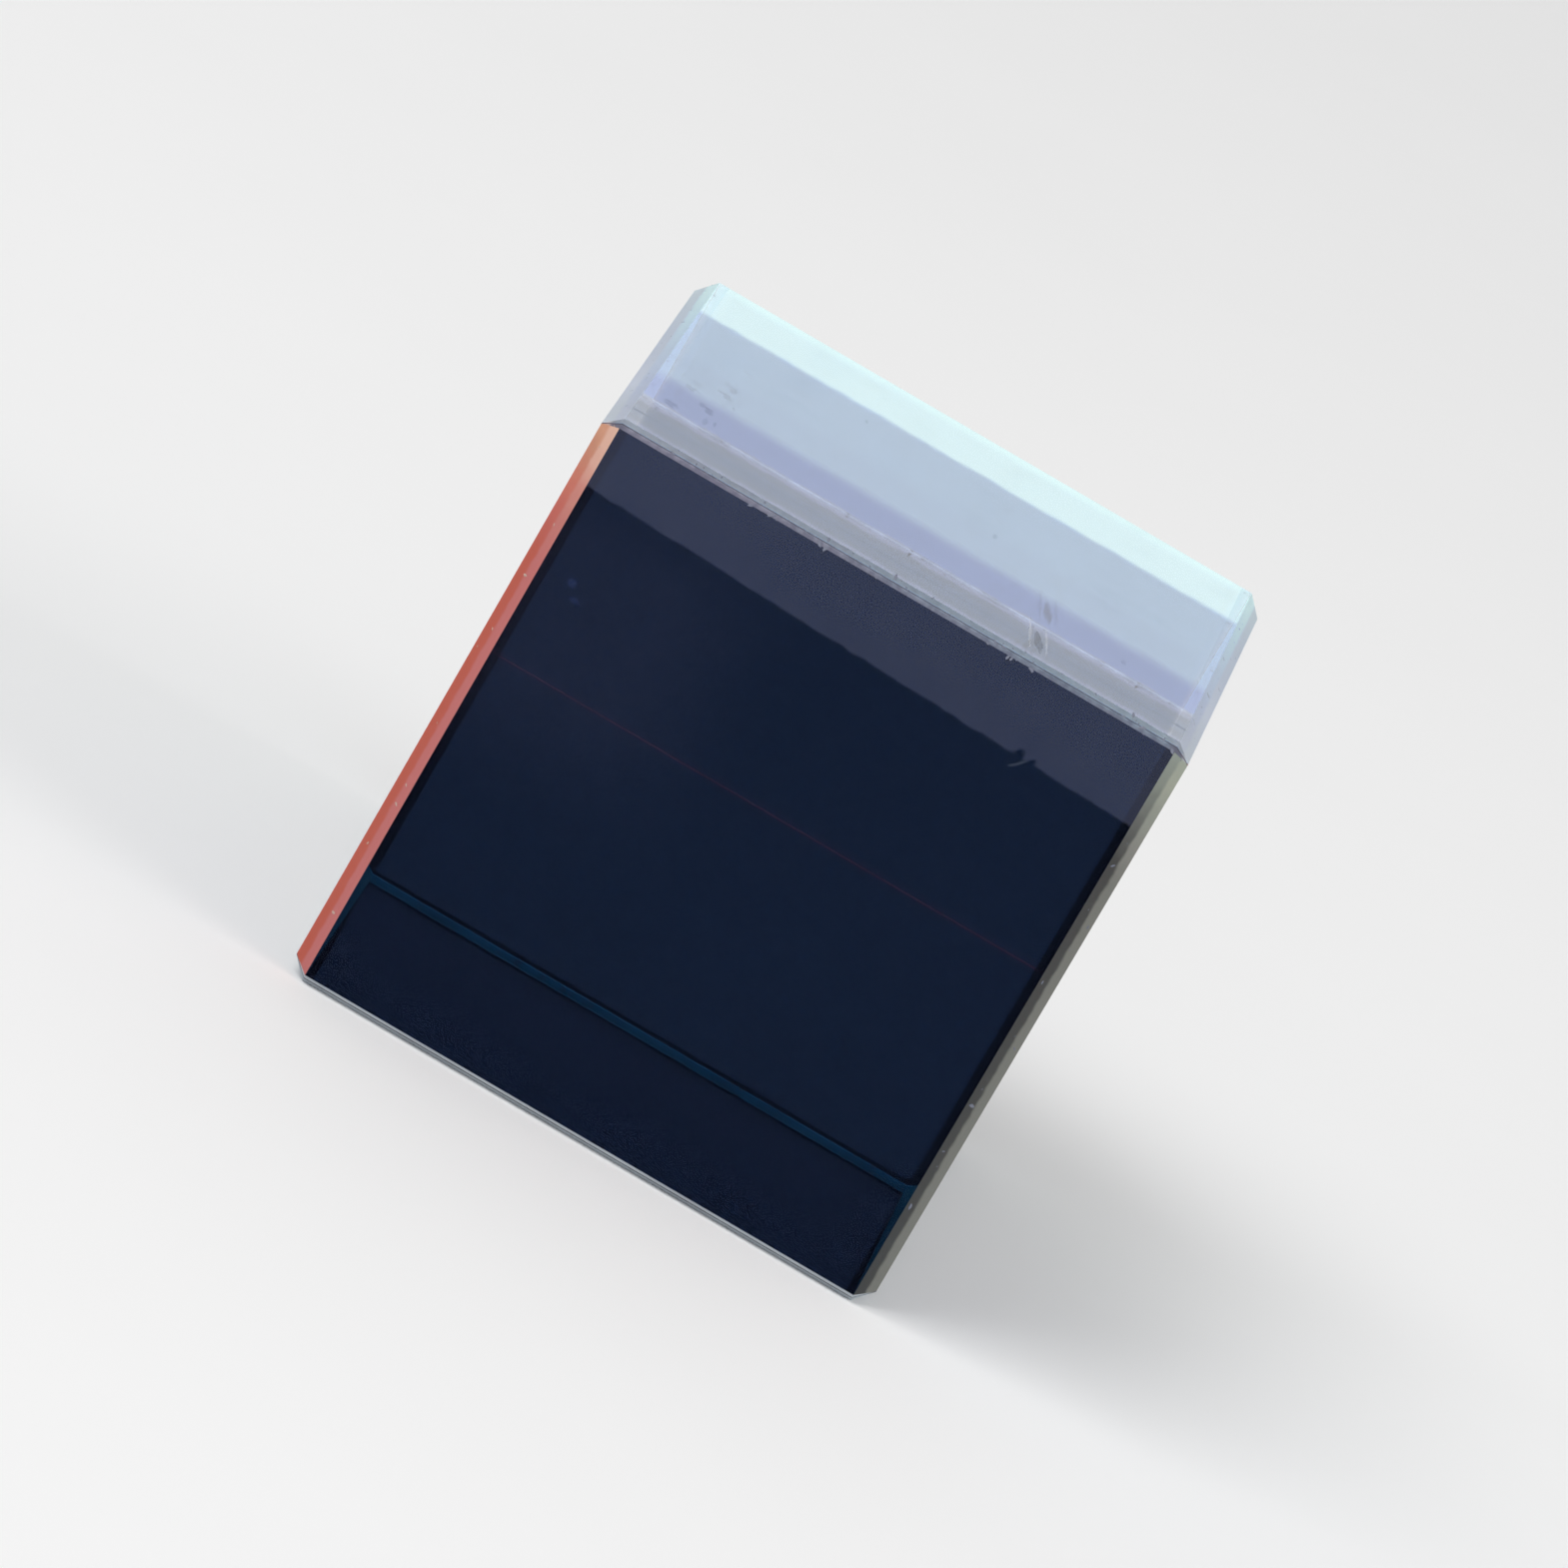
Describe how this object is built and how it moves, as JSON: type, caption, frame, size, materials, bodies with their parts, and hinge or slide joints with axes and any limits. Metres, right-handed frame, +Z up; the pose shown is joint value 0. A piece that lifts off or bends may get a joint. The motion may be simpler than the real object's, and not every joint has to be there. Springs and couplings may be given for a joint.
{
  "type": "optical prism cube",
  "caption": "Glass cube of bonded right-angle prisms with crossed red and blue dichroic films between them, which splits light by colour or combines coloured beams into one.",
  "frame": {"origin": "centre of the face that the cube stands on", "axes": "+Z up through the pale top face, -Y out of the dark front face, X along the line where the two films cross, from one end face to the other"},
  "size_m": [0.022, 0.022, 0.022],
  "materials": {
    "optical_glass": "polished",
    "blue_mirror_film": "dichroic coating that reflects blue",
    "red_mirror_film": "dichroic coating that reflects red"
  },
  "bodies": {
    "root": {"prism_front": "optical_glass", "prism_top": "optical_glass", "prism_back": "optical_glass", "prism_bottom": "optical_glass", "blue_mirror_film": "blue_mirror_film", "red_mirror_film_upper": "red_mirror_film", "red_mirror_film_lower": "red_mirror_film"}
  },
  "joints": []
}
